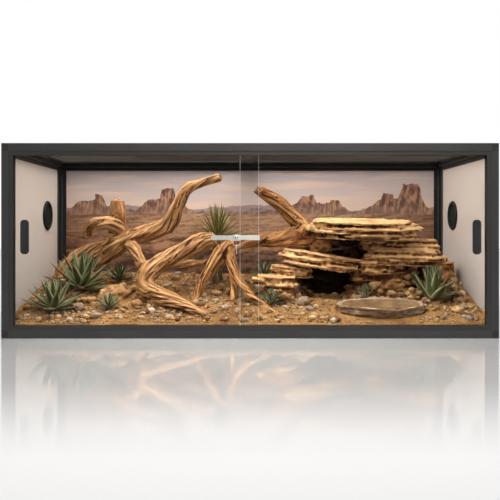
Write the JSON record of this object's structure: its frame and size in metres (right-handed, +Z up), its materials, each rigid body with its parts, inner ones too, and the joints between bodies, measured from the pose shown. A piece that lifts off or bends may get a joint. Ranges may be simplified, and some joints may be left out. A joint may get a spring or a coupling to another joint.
{
  "type": "reptile terrarium",
  "caption": "Front-opening reptile terrarium with sliding glass doors, ratchet lock, side vents, screen top and a desert layout of driftwood, flagstones and plants.",
  "frame": {"origin": "middle of the base, on the surface the terrarium stands on, halfway between the front and rear rails", "axes": "+X to the right seen from the doors, +Y from the doors to the rear panel, +Z up"},
  "size_m": [1.524, 0.6377, 0.598],
  "materials": {
    "frame_metal": "fine textured dark grey powder coat",
    "connector_plastic": "matt black moulded nylon",
    "track_metal": "satin dark grey powder coat",
    "panel_board": "foamed board, matt off-white",
    "scenery_print": "matt printed desert scenery sheet",
    "wall_print": "matt printed pale clouded sheet",
    "screen_metal": "black powder coat",
    "net_steel": "black coated woven wire",
    "door_glass": "clear polished, ground edges",
    "pull_plastic": "satin dark grey moulded",
    "lock_chrome": "bright plated",
    "plug_metal": "satin turned",
    "key_metal": "nickel plated, worn",
    "vent_plastic": "matt black moulded",
    "sand": "loose golden grains and gravel",
    "driftwood": "dry weathered, deeply cracked grain",
    "sandstone": "rough layered flagstone",
    "dark_rock": "rough brown rock",
    "loose_stone": "smooth worn stones",
    "dish_resin": "cast stone, layered and rough outside",
    "leaf_green": "moulded leaves with pale margins",
    "leaf_olive": "moulded narrow leaves"
  },
  "bodies": {
    "root": {"front_top_rail": "frame_metal", "front_bottom_rail": "frame_metal", "rear_top_rail": "frame_metal", "rear_bottom_rail": "frame_metal", "left_top_rail": "frame_metal", "left_bottom_rail": "frame_metal", "right_top_rail": "frame_metal", "right_bottom_rail": "frame_metal", "front_left_post": "frame_metal", "front_right_post": "frame_metal", "rear_left_post": "frame_metal", "rear_right_post": "frame_metal", "corner_connectors": "connector_plastic", "top_centre_brace": "frame_metal", "floor_centre_brace": "frame_metal", "floor_panel": "panel_board", "rear_panel": "panel_board", "left_panel": "panel_board", "right_panel": "panel_board", "rear_print": "scenery_print", "left_print": "wall_print", "right_print": "wall_print", "left_screen_frame": "screen_metal", "right_screen_frame": "screen_metal", "screen_nets": "net_steel", "upper_door_track": "track_metal", "lower_door_track": "track_metal", "left_door_jamb": "track_metal", "right_door_jamb": "track_metal", "left_vent": "vent_plastic", "right_vent": "vent_plastic", "vent_covers": "vent_plastic", "sand_bed": "sand", "left_driftwood": "driftwood", "centre_driftwood": "driftwood", "right_driftwood": "driftwood", "ledge_top_slab": "sandstone", "ledge_middle_slab": "sandstone", "ledge_left_slabs": "sandstone", "ledge_right_slabs": "sandstone", "ledge_column": "dark_rock", "ledge_left_base": "dark_rock", "ledge_right_base": "dark_rock", "ledge_rear_rock": "dark_rock", "boulders": "loose_stone", "pebbles": "loose_stone", "agaves": "leaf_green", "yucca": "leaf_olive", "small_succulents": "leaf_green"},
    "left_door": {"left_glass": "door_glass", "left_pull": "pull_plastic", "lock_bar": "lock_chrome"},
    "right_door": {"right_glass": "door_glass", "right_pull": "pull_plastic"},
    "lock": {"lock_body": "lock_chrome"},
    "key": {"lock_plug": "plug_metal", "lock_key": "key_metal"},
    "ring": {"key_ring": "key_metal"},
    "spare": {"spare_key": "key_metal"},
    "dish": {"water_dish": "dish_resin"}
  },
  "joints": [
    {"name": "left_door_slide", "type": "slide", "parent": "root", "child": "left_door", "axis": [1, 0, 0], "range_m": [0, 0.54]},
    {"name": "right_door_slide", "type": "slide", "parent": "root", "child": "right_door", "axis": [-1, 0, 0], "range_m": [0, 0.54]},
    {"name": "lock_slide", "type": "slide", "parent": "right_door", "child": "lock", "axis": [-1, 0, 0], "range_m": [0, 0.09]},
    {"name": "key_turn", "type": "hinge", "parent": "lock", "child": "key", "pos_m": [-0.0413, -0.3237, 0.3077], "axis": [0, 1, 0], "range_deg": [0, 90]},
    {"name": "ring_swing", "type": "hinge", "parent": "key", "child": "ring", "pos_m": [-0.0413, -0.3237, 0.3057], "axis": [-1, 0, 0], "range_deg": [0, 60]},
    {"name": "spare_swing", "type": "hinge", "parent": "ring", "child": "spare", "pos_m": [-0.0413, -0.3237, 0.2947], "axis": [0, 1, 0], "range_deg": [-90, 0]},
    {"name": "dish_lift", "type": "slide", "parent": "root", "child": "dish", "axis": [0, 0, 1], "range_m": [0, 0.12]}
  ],
  "couplings": [
    {"joint": "spare_swing", "follows": "key_turn", "ratio": -1}
  ]
}
